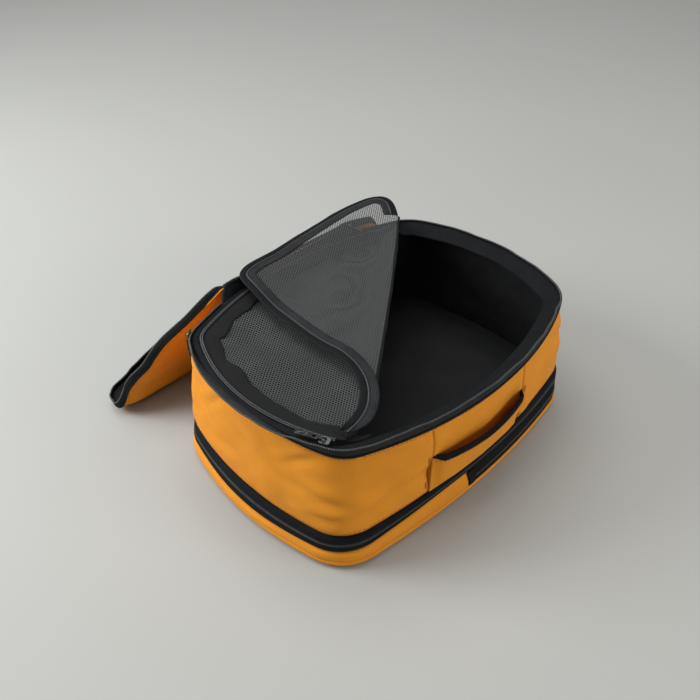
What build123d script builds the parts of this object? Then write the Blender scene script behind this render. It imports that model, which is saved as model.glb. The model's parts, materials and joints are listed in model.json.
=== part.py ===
"""Packing cube: a soft zipped travel organiser with an expansion zip, a second compartment below,
a mesh inner cover and a hinged fabric lid.

Millimetres. The origin is on the ground under the middle of the body, +X runs along the long side,
+Y points to the side where the lid is hinged and +Z is up. The lid hangs open behind the body and the
unzipped half of the mesh cover lies folded back over the zipped half.
"""

from build123d import *
import math
import os

os.makedirs("parts", exist_ok=True)

# ---- driving dimensions -------------------------------------------------------------------------------
LENGTH = 384.0  # outside of the body along X
WIDTH = 292.0  # outside of the body along Y
LONG_BOW = 24.0  # how far the long sides bulge past their corners
SHORT_BOW = 20.0  # how far the short sides bulge past their corners
CORNER_RADIUS = 50.0
FABRIC = 1.2  # shell fabric with its coating
LINING = 0.8
TAPE = 1.0  # woven zip tape

LIP_TOP = 8.0  # fabric lip under the lower zip
LOWER_COIL = (16.0, 19.0)  # coil of the second compartment's zip
BASE_TOP = 27.0  # divider seam
DIVIDER = 1.0
EXPANSION_COIL = (36.5, 38.0, 39.5)  # lower and upper coil of the expansion zip meet at the middle value
WALL_BOTTOM = 49.0
RIM_TOP = 146.0
RIM_WIDTH = 17.0  # flat black tape ring around the top opening
COIL_PROUD = 1.0  # how far a zip coil stands outside the wall

LOWER_ZIP_START = -20.0  # X on the front side where the lower zip begins
LOWER_ZIP_END = -60.0  # X on the back side where it ends
HANDLE_X = (-79.0, 55.0)  # seams at the ends of the grab handle
HANDLE_TOP = 93.0
HANDLE_WEBBING_TOP = 104.0
HANDLE_BULGE = 13.0
HINGE_HALF = 105.0  # half of the lid hinge's length

LID_PIVOT_Y = WIDTH / 2 + 0.5
LID_PIVOT_Z = RIM_TOP + 9.8
LID_SLOPE = 68.0  # angle below horizontal at which the open lid hangs
LID_LIP_BOTTOM = RIM_TOP + 2.0
LID_COIL_BOTTOM = RIM_TOP + 0.4
LID_THICKNESS = LINING + FABRIC - 0.2
FOLD_GAP = 9.0  # lip cut back on each side of the lid's fold

MESH = 0.8
MESH_BOTTOM = RIM_TOP - MESH
MESH_TAPE_OUT = 8.0  # inset of the mesh cover's zip tape
MESH_TAPE_IN = 20.0
MESH_COIL = 1.4
FOLD_POINT = (140.0, 108.0)  # where the mesh cover's fold meets the back rim
FOLD_DIRECTION = (-0.7805, -0.6252)
FOLD_AXIS_Z = MESH_BOTTOM + MESH / 2 + 6.6
BIG = 600.0


# ---- outline of the body: four bowed sides joined by tangent corners -------------------------------------
def bow_radius(half_chord, bow):
    """Radius of the arc that rises by bow over a chord."""
    return (half_chord**2 + bow**2) / (2 * bow)


LONG_RADIUS = bow_radius(LENGTH / 2 - CORNER_RADIUS, LONG_BOW)
SHORT_RADIUS = bow_radius(WIDTH / 2 - CORNER_RADIUS, SHORT_BOW)
LONG_CENTRE_Y = LONG_RADIUS - WIDTH / 2  # of the front side's arc; the back side's is its mirror
SHORT_CENTRE_X = LENGTH / 2 - SHORT_RADIUS  # of the right side's arc


def corner_centre():
    """Centre of the front right corner's arc, tangent inside the front and the right side's arcs."""
    a = Vector(0, LONG_CENTRE_Y)
    b = Vector(SHORT_CENTRE_X, 0)
    ra = LONG_RADIUS - CORNER_RADIUS
    rb = SHORT_RADIUS - CORNER_RADIUS
    gap = (b - a).length
    along = (ra**2 - rb**2 + gap**2) / (2 * gap)
    u = (b - a).normalized()
    middle = a + u * along
    side = Vector(-u.Y, u.X) * math.sqrt(ra**2 - along**2)
    return max(middle + side, middle - side, key=lambda p: p.X)


CORNER = corner_centre()


def outline(inset):
    """The body's outline as a face at Z 0, moved in by inset (out where it is negative)."""
    r = CORNER_RADIUS - inset
    to_long = (CORNER - Vector(0, LONG_CENTRE_Y)).normalized()
    to_short = (CORNER - Vector(SHORT_CENTRE_X, 0)).normalized()
    middle = (to_long + to_short).normalized()
    start = CORNER + to_long * r
    bend = CORNER + middle * r
    end = CORNER + to_short * r

    def at(p, sx, sy):
        return (p.X * sx, p.Y * sy)

    half_l = LENGTH / 2 - inset
    half_w = WIDTH / 2 - inset
    edges = [
        ThreePointArc(at(start, -1, 1), (0, -half_w), at(start, 1, 1)),
        ThreePointArc(at(start, 1, 1), at(bend, 1, 1), at(end, 1, 1)),
        ThreePointArc(at(end, 1, 1), (half_l, 0), at(end, 1, -1)),
        ThreePointArc(at(end, 1, -1), at(bend, 1, -1), at(start, 1, -1)),
        ThreePointArc(at(start, 1, -1), (0, half_w), at(start, -1, -1)),
        ThreePointArc(at(start, -1, -1), at(bend, -1, -1), at(end, -1, -1)),
        ThreePointArc(at(end, -1, -1), (-half_l, 0), at(end, -1, 1)),
        ThreePointArc(at(end, -1, 1), at(bend, -1, 1), at(start, -1, 1)),
    ]
    return Face(Wire(edges))


# ---- building blocks ---------------------------------------------------------------------------------------
def slab(inset, low, high):
    """The outline's area between two heights."""
    return Pos(0, 0, low) * extrude(outline(inset), amount=high - low, dir=(0, 0, 1))


def ring(outer, inner, low, high):
    """A band that follows the outline, from inset outer to inset inner."""
    return slab(outer, low, high) - slab(inner, low - 1, high + 1)


def block(x0, x1, y0, y1, z0=-BIG, z1=BIG):
    """A box between two corners."""
    return Pos((x0 + x1) / 2, (y0 + y1) / 2, (z0 + z1) / 2) * Box(x1 - x0, y1 - y0, z1 - z0)


def region(front_x0, front_x1, back_x0, back_x1):
    """The space with one X range in front of the middle and another behind it."""
    return block(front_x0, front_x1, -BIG, 0) + block(back_x0, back_x1, 0, BIG)


def fold_side(gap, sign):
    """The half space on one side of the mesh cover's fold, gap away from it. +1 is the folded half."""
    ux, uy = FOLD_DIRECTION
    nx, ny = -uy * sign, ux * sign
    angle = math.degrees(math.atan2(ny, nx))
    cx = FOLD_POINT[0] + nx * (gap + BIG / 2)
    cy = FOLD_POINT[1] + ny * (gap + BIG / 2)
    return Pos(cx, cy, 0) * Rot(0, 0, angle) * Box(BIG, 2 * BIG, 2 * BIG)


def folded_back(shape):
    """Turns the mesh cover's loose half from closed to lying on the other half."""
    axis = Axis((*FOLD_POINT, FOLD_AXIS_Z), (*FOLD_DIRECTION, 0))
    return shape.rotate(axis, 180)


FOLD_FROM_PIVOT = (LID_PIVOT_Z - LID_THICKNESS) / math.sin(math.radians(LID_SLOPE))


def opened(shape, lower=False):
    """Turns a lid piece from closed to hanging open. The lower half also bends back up at the fold."""
    if lower:
        fold = Axis((0, LID_PIVOT_Y - FOLD_FROM_PIVOT, LID_PIVOT_Z), (1, 0, 0))
        shape = shape.rotate(fold, LID_SLOPE)
    return shape.rotate(Axis((0, LID_PIVOT_Y, LID_PIVOT_Z), (1, 0, 0)), -(180 + LID_SLOPE))


def save(name, shape):
    """Writes one sub-part."""
    solids = shape.solids()
    shape = solids[0] if len(solids) == 1 else Compound(children=list(solids))
    shape.label = name
    export_step(shape, f"parts/{name}.step")


# ---- base: bottom panel, second compartment and the lower half of the expansion zip --------------------------
def make_base():
    zip_run = region(LOWER_ZIP_START, BIG, LOWER_ZIP_END, BIG)
    plain_run = region(-BIG, LOWER_ZIP_START, -BIG, LOWER_ZIP_END)
    coil_low, coil_high = LOWER_COIL
    save("bottom_panel", slab(0, 0, FABRIC))
    save("bottom_lip", ring(0, FABRIC, FABRIC, LIP_TOP))
    save("base_wall", ring(0, FABRIC, LIP_TOP, BASE_TOP) & plain_run)
    save("lower_zip_tape_bottom", ring(0, TAPE, LIP_TOP, coil_low) & zip_run)
    save("lower_zip_coil", ring(-COIL_PROUD, TAPE, coil_low, coil_high) & zip_run)
    save("lower_zip_tape_top", ring(0, TAPE, coil_high, BASE_TOP) & zip_run)
    tab = ring(-TAPE, 0, LIP_TOP, BASE_TOP - 1) & block(LOWER_ZIP_START - 12, LOWER_ZIP_START, -BIG, 0)
    save("lower_zip_end_tab", tab)
    save("divider_panel", slab(0, BASE_TOP, BASE_TOP + DIVIDER))
    save("expansion_tape_lower", ring(0, TAPE, BASE_TOP + DIVIDER, EXPANSION_COIL[0]))
    save("expansion_coil_lower", ring(-COIL_PROUD, TAPE, EXPANSION_COIL[0], EXPANSION_COIL[1]))


# ---- upper body: walls, lining, rim and the upper half of the expansion zip ----------------------------------
def make_upper():
    left = region(-BIG, HANDLE_X[0], -BIG, -HINGE_HALF)
    right = region(HANDLE_X[1], BIG, HINGE_HALF, BIG)
    wall = ring(0, FABRIC, WALL_BOTTOM, RIM_TOP - FABRIC)
    gusset_in = TAPE + 0.4
    save("expansion_coil_upper", ring(-COIL_PROUD, TAPE, EXPANSION_COIL[1], EXPANSION_COIL[2]))
    save("expansion_tape_upper", ring(0, TAPE, EXPANSION_COIL[2], WALL_BOTTOM))
    save("expansion_gusset", ring(gusset_in, gusset_in + LINING, BASE_TOP + DIVIDER, WALL_BOTTOM - 0.2))
    save("side_wall_left", wall & left)
    save("side_wall_right", wall & right)
    save("front_panel", wall & block(*HANDLE_X, -BIG, 0))
    save("back_panel", wall & block(-HINGE_HALF, HINGE_HALF, 0, BIG))
    save("wall_lining", ring(FABRIC, FABRIC + LINING, WALL_BOTTOM, RIM_TOP - FABRIC))
    save("rim_binding", ring(0, RIM_WIDTH, RIM_TOP - FABRIC, RIM_TOP))
    zipped = region(-BIG, BIG, -BIG, -HINGE_HALF) + block(HINGE_HALF, BIG, 0, BIG)
    save("lid_zip_tape_body", ring(-TAPE, 0, RIM_TOP - 8, RIM_TOP - 1.5) & zipped)
    save("lid_zip_coil_body", ring(-TAPE - 0.6, 0, RIM_TOP - 1.5, RIM_TOP) & zipped)
    make_hinge_strip()
    save("handle_bartacks", bartacks())


def make_hinge_strip():
    """The fabric strip that stands on the back rim and carries the lid."""
    run = block(-HINGE_HALF, HINGE_HALF, 0, BIG)
    standing = ring(1.5, 6, RIM_TOP, LID_PIVOT_Z - 0.4) & run
    flange = block(-HINGE_HALF, HINGE_HALF, WIDTH / 2 - 14, WIDTH / 2 - 2, LID_PIVOT_Z - 1.9, LID_PIVOT_Z - 0.4)
    flange -= slab(6, RIM_TOP, LID_PIVOT_Z)
    save("lid_hinge_strip", standing + flange)


def front_arc_y(x, inset=0.0):
    """Y of the front side's arc at x."""
    return LONG_CENTRE_Y - math.sqrt((LONG_RADIUS - inset) ** 2 - x**2)


def bartacks():
    """Four stitched reinforcements at the ends of the grab handle."""
    size = (5.0, 1.0, 9.0)
    tacks = []
    for x in (HANDLE_X[0] - size[0], HANDLE_X[1] + size[0]):
        for z in (WALL_BOTTOM + 6, HANDLE_TOP + 5):
            y = front_arc_y(x) - size[1] / 2 - 0.25
            slope = math.degrees(math.asin(x / LONG_RADIUS))
            tacks.append(Pos(x, y, z) * Rot(0, 0, slope) * Box(*size))
    return Compound(children=tacks)


# ---- grab handle: a loose fabric band with webbing along its top edge ----------------------------------------
def handle_shell(low, high, inner_gap, outer_gap):
    """A band that bulges out from the front panel between the handle's end seams."""
    x0, x1 = HANDLE_X
    middle = (x0 + x1) / 2
    faces = []
    for gap in (outer_gap, inner_gap):
        ends = [(x, front_arc_y(x) - 0.4 - gap) for x in (x0 + 1, x1 - 1)]
        crown = (middle, front_arc_y(middle) - HANDLE_BULGE - gap)
        faces.append((ends, crown))
    outer, inner = faces
    edges = [
        ThreePointArc(outer[0][0], outer[1], outer[0][1]),
        Line(outer[0][1], inner[0][1]),
        ThreePointArc(inner[0][1], inner[1], inner[0][0]),
        Line(inner[0][0], outer[0][0]),
    ]
    face = Face(Wire(edges))
    return Pos(0, 0, low) * extrude(face, amount=high - low, dir=(0, 0, 1))


def make_handle():
    save("handle_band", handle_shell(WALL_BOTTOM + 1, HANDLE_TOP, 0, FABRIC))
    save("handle_webbing", handle_shell(HANDLE_TOP, HANDLE_WEBBING_TOP, -0.3, FABRIC + 0.8))


# ---- lid, in two halves that bend at the fold where it meets the ground ----------------------------------------
def make_lid():
    panel_area = slab(-TAPE, LID_PIVOT_Z, LID_PIVOT_Z + 5)
    panel_area += block(-HINGE_HALF, HINGE_HALF, 0, LID_PIVOT_Y - 1, LID_PIVOT_Z, LID_PIVOT_Z + 5)
    panel_area &= block(-BIG, BIG, -BIG, LID_PIVOT_Y - 1)
    lining_top = LID_PIVOT_Z + LINING
    layers = {
        "lining": panel_area & block(-BIG, BIG, -BIG, BIG, LID_PIVOT_Z, lining_top),
        "panel": panel_area & block(-BIG, BIG, -BIG, BIG, lining_top, LID_PIVOT_Z + LID_THICKNESS),
    }
    lip_start = HINGE_HALF + 8
    lip_run = block(-BIG, BIG, -BIG, 0) + block(-BIG, -lip_start, 0, BIG) + block(lip_start, BIG, 0, BIG)
    lips = {
        "zip_tape": ring(-TAPE, 0, LID_LIP_BOTTOM, LID_PIVOT_Z) & lip_run,
        "zip_coil": ring(-TAPE - 0.6, 0.4, LID_COIL_BOTTOM, LID_LIP_BOTTOM) & lip_run,
    }
    fold_y = LID_PIVOT_Y - FOLD_FROM_PIVOT
    for pieces, gap in ((layers, 0.5), (lips, FOLD_GAP)):
        for kind, shape in pieces.items():
            near = shape & block(-BIG, BIG, fold_y + gap, BIG)
            far = shape & block(-BIG, BIG, -BIG, fold_y - gap)
            save(f"lid_{kind}_upper", opened(near))
            save(f"lid_{kind}_lower", opened(far, lower=True))


# ---- mesh cover: the zipped half stays flat, the loose half is folded back over it -------------------------------
def make_mesh_cover():
    mesh = slab(RIM_WIDTH, MESH_BOTTOM, RIM_TOP)
    tape = ring(MESH_TAPE_OUT, MESH_TAPE_IN, RIM_TOP, RIM_TOP + TAPE)
    coil = ring(MESH_TAPE_OUT, MESH_TAPE_OUT + 2, RIM_TOP + TAPE, RIM_TOP + TAPE + MESH_COIL)
    zipped = block(-BIG, BIG, -BIG, CORNER_RADIUS)
    kept, loose = fold_side(1.0, -1), fold_side(1.0, 1)
    save("mesh_cover_fixed", mesh & kept)
    save("mesh_border_fixed", tape & kept)
    save("mesh_zip_coil_fixed", coil & kept & zipped)
    save("mesh_zip_coil_body", ring(5.5, 7.5, RIM_TOP, RIM_TOP + MESH_COIL) & zipped)
    save("mesh_cover_flap", folded_back(mesh & loose))
    save("mesh_border_flap", folded_back(tape & loose))
    save("mesh_zip_coil_flap", folded_back(coil & loose & zipped))


# ---- zip sliders, each with a swinging pull --------------------------------------------------------------------
SLIDER_LONG = 10.0
SLIDER_WIDE = 8.0
SLIDER_PLATE = 1.6
PIN_HEIGHT = 1.5  # pin's centre above the plate
PIN_RADIUS = 0.6
EYE_RADIUS = 0.68
PULL_LONG = 22.0
PULL_WIDE = 5.5
PULL_THICK = 1.2


def slider(pin_turn=0):
    """A slider lying on XY and running along X, its underside at Z 0: plate, two lugs and a pin."""
    shape = Pos(0, 0, SLIDER_PLATE / 2) * Box(SLIDER_LONG, SLIDER_WIDE, SLIDER_PLATE)
    shape = fillet(shape.edges().filter_by(Axis.Z), 2.4)
    pin_z = SLIDER_PLATE + PIN_HEIGHT
    bracket = Pos(0, 0, pin_z) * Rot(90, 0, 0) * Cylinder(PIN_RADIUS, 4.2)
    for y in (-2.1, 2.1):
        bracket += Pos(0, y, pin_z / 2 + 0.5) * Box(2.6, 1.0, pin_z + 1.0)
    return shape + Rot(0, 0, pin_turn) * bracket


def pull():
    """A pull lying along +X from the slider's pin, with its eye around the pin."""
    pin_z = SLIDER_PLATE + PIN_HEIGHT
    eye = Pos(0, 0, pin_z) * Rot(90, 0, 0) * Cylinder(1.3, 2.8)
    neck = Pos(3.5, 0, pin_z) * Box(6.0, 2.8, PULL_THICK)
    tab = Pos(5.5 + PULL_LONG / 2, 0, pin_z) * Box(PULL_LONG, PULL_WIDE, PULL_THICK)
    tab = fillet(tab.edges().filter_by(Axis.Z), 1.8)
    tab -= Pos(9.5, 0, pin_z) * Box(3.0, 2.4, 4)
    return (eye + neck + tab) - Pos(0, 0, pin_z) * Rot(90, 0, 0) * Cylinder(EYE_RADIUS, 6)


def lay_flat(shape, x, y, heading, z):
    """Places a slider or pull on a horizontal zip."""
    return Pos(x, y, z) * Rot(0, 0, heading) * shape


def stand_up(shape, x, y, outward, z, turn):
    """Places a slider or pull on an upright zip whose outside faces the outward angle."""
    return Pos(x, y, z) * Rot(0, 0, outward + 90) * Rot(90, 0, 0) * Rot(0, 0, turn) * shape


def polar(cx, cy, radius, angle):
    """A point at an angle on a circle."""
    a = math.radians(angle)
    return cx + radius * math.cos(a), cy + radius * math.sin(a)


def make_sliders():
    corner_x, corner_y = CORNER.X, -CORNER.Y
    clear = COIL_PROUD + 0.3

    x, y = polar(-corner_x, -corner_y, CORNER_RADIUS - 7.75, 205)
    z = RIM_TOP + TAPE + MESH_COIL + 0.2
    save("mesh_slider", lay_flat(slider(), x, y, 115, z))
    save("mesh_slider_pull", lay_flat(pull(), x, y, 115, z))

    x, y = polar(-corner_x, corner_y, CORNER_RADIUS + TAPE + 0.9, 128)
    save("lid_slider", stand_up(slider(90), x, y, 128, RIM_TOP - 0.5, 0))
    save("lid_slider_pull", stand_up(pull(), x, y, 128, RIM_TOP - 0.5, -90))

    for name, angle, z in (("expansion", -5, EXPANSION_COIL[1]), ("lower", 6, sum(LOWER_COIL) / 2)):
        x, y = polar(SHORT_CENTRE_X, 0, SHORT_RADIUS + clear, angle)
        hang = -90 if name == "expansion" else 0
        save(f"{name}_slider", stand_up(slider(-hang), x, y, angle, z, 0))
        save(f"{name}_slider_pull", stand_up(pull(), x, y, angle, z, hang))


make_base()
make_upper()
make_handle()
make_lid()
make_mesh_cover()
make_sliders()
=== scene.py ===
"""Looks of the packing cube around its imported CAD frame: cloth shell, zips, mesh cover, lid, handle,
materials, light and camera.

Shapes are worked out in millimetres, in the CAD frame, and turned into metres where a mesh is made.
A place on the body's outline is a number from 0 to 8: the front side is 0 to 1 from left to right, then
come the front right corner, the right side and so on, and the front left corner is 7 to 8.
"""

import json
import math

import bpy
import numpy as np
from mathutils import Matrix, Vector, noise


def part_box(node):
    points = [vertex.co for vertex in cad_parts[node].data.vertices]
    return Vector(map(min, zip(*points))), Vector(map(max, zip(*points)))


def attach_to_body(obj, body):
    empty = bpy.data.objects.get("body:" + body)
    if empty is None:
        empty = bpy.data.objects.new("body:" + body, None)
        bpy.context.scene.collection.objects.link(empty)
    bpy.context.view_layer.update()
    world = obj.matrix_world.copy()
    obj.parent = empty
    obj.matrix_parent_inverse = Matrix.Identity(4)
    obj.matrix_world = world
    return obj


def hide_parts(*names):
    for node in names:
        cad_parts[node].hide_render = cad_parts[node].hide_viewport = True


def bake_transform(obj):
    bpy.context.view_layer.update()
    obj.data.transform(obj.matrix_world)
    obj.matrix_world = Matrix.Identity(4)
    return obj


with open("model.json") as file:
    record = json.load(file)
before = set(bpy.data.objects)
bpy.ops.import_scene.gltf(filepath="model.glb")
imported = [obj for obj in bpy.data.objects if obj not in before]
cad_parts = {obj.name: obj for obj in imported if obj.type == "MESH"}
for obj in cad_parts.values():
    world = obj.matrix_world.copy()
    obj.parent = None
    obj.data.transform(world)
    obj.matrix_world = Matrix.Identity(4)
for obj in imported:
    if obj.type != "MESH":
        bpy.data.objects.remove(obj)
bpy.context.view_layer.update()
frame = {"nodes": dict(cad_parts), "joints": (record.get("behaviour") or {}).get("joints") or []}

MM = 0.001


# ---- measures read from the frame ----------------------------------------------------------------------
def extent(node):
    """Lowest and highest corner of a CAD node in millimetres."""
    low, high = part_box(node)
    return np.array(low) / MM, np.array(high) / MM


def joint(name):
    return next(j for j in frame["joints"] if j["name"] == name)


RIM_CORNER = extent("rim_binding")[1]
LENGTH, WIDTH, RIM_TOP = 2 * RIM_CORNER[0], 2 * RIM_CORNER[1], RIM_CORNER[2]
BASE_TOP = extent("divider_panel")[0][2]
FLOOR_TOP = extent("divider_panel")[1][2]
WALL_BOTTOM = extent("side_wall_left")[0][2]
SPLIT = extent("expansion_coil_upper")[0][2]
LIP_TOP = extent("bottom_lip")[1][2]
LIP_SEAM = LIP_TOP + 2.5  # the lip's cloth is drawn up a little over the lower zip
LOWER_COIL = extent("lower_zip_coil")[0][2] + 1.5
ZIP_START = extent("lower_zip_end_tab")[1][0]
ZIP_END = extent("lower_zip_coil")[0][0]
HANDLE_LEFT, HANDLE_RIGHT = extent("front_panel")[0][0], extent("front_panel")[1][0]
HINGE_HALF = extent("lid_hinge_strip")[1][0]
PIVOT = np.array(joint("lid_hinge")["pos_m"]) / MM
FOLD = np.array(joint("lid_fold")["pos_m"]) / MM
LID_OPEN = joint("lid_hinge")["range_deg"][1]
LID_BEND = -joint("lid_fold")["range_deg"][0]

# thickness of the shell cloth and the zip tape, and radii of the zip coils and the piping
SHELL_THICK, TAPE_THICK = 1.2, 1.0
LID_COIL, RIM_MESH_COIL, FLAP_COIL, EXPANSION_COIL, BASE_COIL = 1.25, 1.05, 1.15, 1.15, 1.7
PIPING, HINGE_PIPING = 1.2, 2.0


# ---- small mathematics ---------------------------------------------------------------------------------
def ease(x, low, high):
    """0 below low, 1 above high, and smooth between them."""
    f = np.clip((np.asarray(x, float) - low) / (high - low), 0, 1)
    return f * f * (3 - 2 * f)


def between(x, low, high, inside, outside=0.0):
    """1 between low and high, easing to 0 at both, from inside the ends to outside them."""
    return ease(x, low - outside, low + inside) * (1 - ease(x, high - inside, high + outside))


def bell(x, centre, width):
    return np.exp(-(((np.asarray(x, float) - centre) / width) ** 2))


def profile(x, *knots):
    """A smooth curve through (x, value) knots."""
    xs, ys = np.array(knots, float).T
    x = np.clip(np.asarray(x, float), xs[0], xs[-1])
    slopes = np.gradient(ys, xs)
    i = np.clip(np.searchsorted(xs, x, side="right") - 1, 0, len(xs) - 2)
    h = xs[i + 1] - xs[i]
    f = (x - xs[i]) / h
    return ((2 * f**3 - 3 * f**2 + 1) * ys[i] + (f**3 - 2 * f**2 + f) * h * slopes[i]
            + (3 * f**2 - 2 * f**3) * ys[i + 1] + (f**3 - f**2) * h * slopes[i + 1])


def swells(points, scale, seed):
    """Smooth noise, about -1 to 1, at each point in an array of any shape."""
    shifted = points.reshape(-1, 3) / scale + np.array([seed * 7.31, seed * 3.17, seed * 5.73])
    values = [noise.noise(Vector(p)) for p in shifted]
    return np.array(values).reshape(points.shape[:-1]) * 1.6


def unit(v):
    return v / np.maximum(np.linalg.norm(v, axis=-1, keepdims=True), 1e-9)


def arc_lengths(path):
    steps = np.linalg.norm(np.diff(path, axis=0), axis=1)
    return np.concatenate([[0], np.cumsum(steps)])


def resampled(path, step):
    """The same path with points about step apart."""
    s = arc_lengths(path)
    count = max(int(round(s[-1] / step)), 2) + 1
    even = np.linspace(0, s[-1], count)
    return np.stack([np.interp(even, s, path[:, k]) for k in range(path.shape[1])], axis=1)


def evenly(path, count):
    """The same path as a number of points evenly spaced."""
    return resampled(path, arc_lengths(path)[-1] / (count - 1))[:count]


def rounded_line(points):
    """A smooth line through given points."""
    p = np.array(points, float)
    p = np.vstack([2 * p[0] - p[1], p, 2 * p[-1] - p[-2]])
    line = []
    for a, b, c, d in zip(p[:-3], p[1:-2], p[2:-1], p[3:]):
        for f in np.arange(12) / 12:
            line.append(0.5 * (2 * b + (c - a) * f + (2 * a - 5 * b + 4 * c - d) * f**2
                               + (3 * b - a - 3 * c + d) * f**3))
    line.append(p[-2])
    return np.array(line)


def with_height(flat, z=0.0):
    """Flat points given a height."""
    heights = np.broadcast_to(np.asarray(z, float), flat.shape[:-1])
    return np.concatenate([flat, heights[..., None]], axis=-1)


# ---- the body's outline --------------------------------------------------------------------------------
# length, width, bow of the long sides, bow of the short sides, corner radius
BASE_SHAPE = np.array([LENGTH - 1, WIDTH - 10, 13, 9, 46])
RIM_SHAPE = np.array([LENGTH - 3, WIDTH + 5, 31, 27, 42])


def bow_radius(half_chord, bow):
    return (half_chord**2 + bow**2) / (2 * bow)


def skin(place, z, out=0.0):
    """Points on the body at places round it, heights z, and a distance out from the plain outline.
    Returns the points and the outward directions."""
    place, z, out = np.broadcast_arrays(np.asarray(place, float), np.asarray(z, float),
                                        np.asarray(out, float))
    share = ease(z, BASE_TOP - 10, RIM_TOP + 12)
    length, width, long_bow, short_bow, radius = [
        BASE_SHAPE[k] * (1 - share) + RIM_SHAPE[k] * share for k in range(5)]
    long_r = bow_radius(length / 2 - radius, long_bow)
    short_r = bow_radius(width / 2 - radius, short_bow)
    long_c = long_r - width / 2
    short_c = length / 2 - short_r
    gap = np.hypot(short_c, long_c)
    ra, rb = long_r - radius, short_r - radius
    along = (ra**2 - rb**2 + gap**2) / (2 * gap)
    side = np.sqrt(np.maximum(ra**2 - along**2, 0))
    ux, uy = short_c / gap, -long_c / gap
    first = np.stack([ux * along - uy * side, long_c + uy * along + ux * side])
    second = np.stack([ux * along + uy * side, long_c + uy * along - ux * side])
    corner = np.where(first[0] > second[0], first, second)
    steep = -np.arctan2(corner[1] - long_c, corner[0])
    flat = -np.arctan2(corner[1], corner[0] - short_c)
    half, zero = np.full_like(steep, math.pi), np.zeros_like(steep)
    turns = np.stack([steep - half, -steep, -flat, flat, steep, half - steep, half - flat, half + flat,
                      half + steep])
    cx = np.stack([zero, corner[0], short_c, corner[0], zero, -corner[0], -short_c, -corner[0]])
    cy = np.stack([long_c, corner[1], zero, -corner[1], -long_c, -corner[1], zero, corner[1]])
    radii = np.stack([long_r, radius, short_r, radius, long_r, radius, short_r, radius])
    part = np.floor(place).astype(int)
    f = place - part
    part = part % 8

    def pick(table, index):
        return np.take_along_axis(table, index[None], axis=0)[0]

    angle = pick(turns, part) * (1 - f) + pick(turns, part + 1) * f
    r = pick(radii, part) + out
    normal = np.stack([np.cos(angle), np.sin(angle), zero], axis=-1)
    centre = np.stack([pick(cx, part), pick(cy, part), z], axis=-1)
    return centre + normal * r[..., None], normal


FINE_PLACES = np.linspace(0, 8, 6401)
FINE_POINTS = skin(FINE_PLACES, RIM_TOP)[0]
FINE_LENGTHS = arc_lengths(FINE_POINTS)
PERIMETER = FINE_LENGTHS[-1]


def around(place):
    """Distance along the outline from the front side's left end, in millimetres."""
    laps = np.floor(np.asarray(place, float) / 8)
    return np.interp(place - laps * 8, FINE_PLACES, FINE_LENGTHS) + laps * PERIMETER


def place_at(distance):
    laps = np.floor(np.asarray(distance, float) / PERIMETER)
    return np.interp(distance - laps * PERIMETER, FINE_LENGTHS, FINE_PLACES) + laps * 8


def front_place(x):
    """Place on the front side, or its corners, at x."""
    places = np.linspace(-0.9, 1.9, 1401)
    return float(np.interp(x, skin(places, RIM_TOP)[0][:, 0], places))


def back_place(x):
    places = np.linspace(5.9, 3.1, 1401)
    return float(np.interp(x, skin(places, RIM_TOP)[0][:, 0], places))


def stations(start, end, step):
    """Places from start to end, about step millimetres apart."""
    s0, s1 = around(start), around(end)
    count = max(int(round((s1 - s0) / step)), 2) + 1
    return place_at(np.linspace(s0, s1, count))


def shortest(distance):
    """A distance along the outline as the shorter way round it, with its sign."""
    return (distance + PERIMETER / 2) % PERIMETER - PERIMETER / 2


def nearness(place, centre, width):
    """A bell round a place, width in millimetres, that knows the outline closes on itself."""
    return bell(shortest(around(place) - around(centre)), 0, width)


def nearest_place(x, y):
    """The place on the rim's outline nearest to a point."""
    return float(FINE_PLACES[np.argmin(np.hypot(FINE_POINTS[:, 0] - x, FINE_POINTS[:, 1] - y))])


def rim_line(places, out, z):
    """Points on the rim's outline, moved out from it and set at height z."""
    points = skin(places, RIM_TOP, out)[0]
    points[..., 2] = z
    return points


MESH_SLIDER_AT = nearest_place(*(sum(extent("mesh_slider")) / 2)[:2])


# ---- making meshes -------------------------------------------------------------------------------------
def make_mesh(name, points, faces, material, cloth=None, thickness=0.0, toward=0.0):
    """A piece from points in millimetres. cloth is each point's place on the flat cloth, for the weave.
    thickness is grown to the side that toward says: 0 both, 1 along the normals, -1 against them."""
    mesh = bpy.data.meshes.new(name)
    mesh.from_pydata((np.asarray(points, float) * MM).tolist(), [], faces)
    mesh.validate()
    mesh.polygons.foreach_set("use_smooth", np.ones(len(mesh.polygons), bool))
    if cloth is not None:
        layer = mesh.uv_layers.new(name="cloth")
        index = np.zeros(len(mesh.loops), np.int32)
        mesh.loops.foreach_get("vertex_index", index)
        layer.data.foreach_set("uv", np.asarray(cloth, np.float32)[index].ravel())
    mesh.materials.append(material)
    piece = bpy.data.objects.new(name, mesh)
    bpy.context.scene.collection.objects.link(piece)
    if thickness:
        shell = piece.modifiers.new("thickness", "SOLIDIFY")
        shell.thickness = thickness * MM
        shell.offset = toward
        shell.use_even_offset = False
    return piece


def grid_faces(rows, columns, loop_rows=False, loop_columns=False, flip=False):
    faces = []
    for i in range(rows if loop_rows else rows - 1):
        for j in range(columns if loop_columns else columns - 1):
            a, b = i * columns + j, i * columns + (j + 1) % columns
            c, d = ((i + 1) % rows) * columns + (j + 1) % columns, ((i + 1) % rows) * columns + j
            faces.append((a, d, c, b) if flip else (a, b, c, d))
    return faces


def cloth_grid(along, across):
    """Places on the flat cloth for a grid of points."""
    return np.stack(np.broadcast_arrays(along, across), axis=-1)


def grid_piece(name, points, cloth, material, thickness=0.0, toward=0.0, **settings):
    """A sheet from a grid of points, rows by columns by 3."""
    faces = grid_faces(*points.shape[:2], **settings)
    return make_mesh(name, points.reshape(-1, 3), faces, material, cloth.reshape(-1, 2), thickness, toward)


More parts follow.
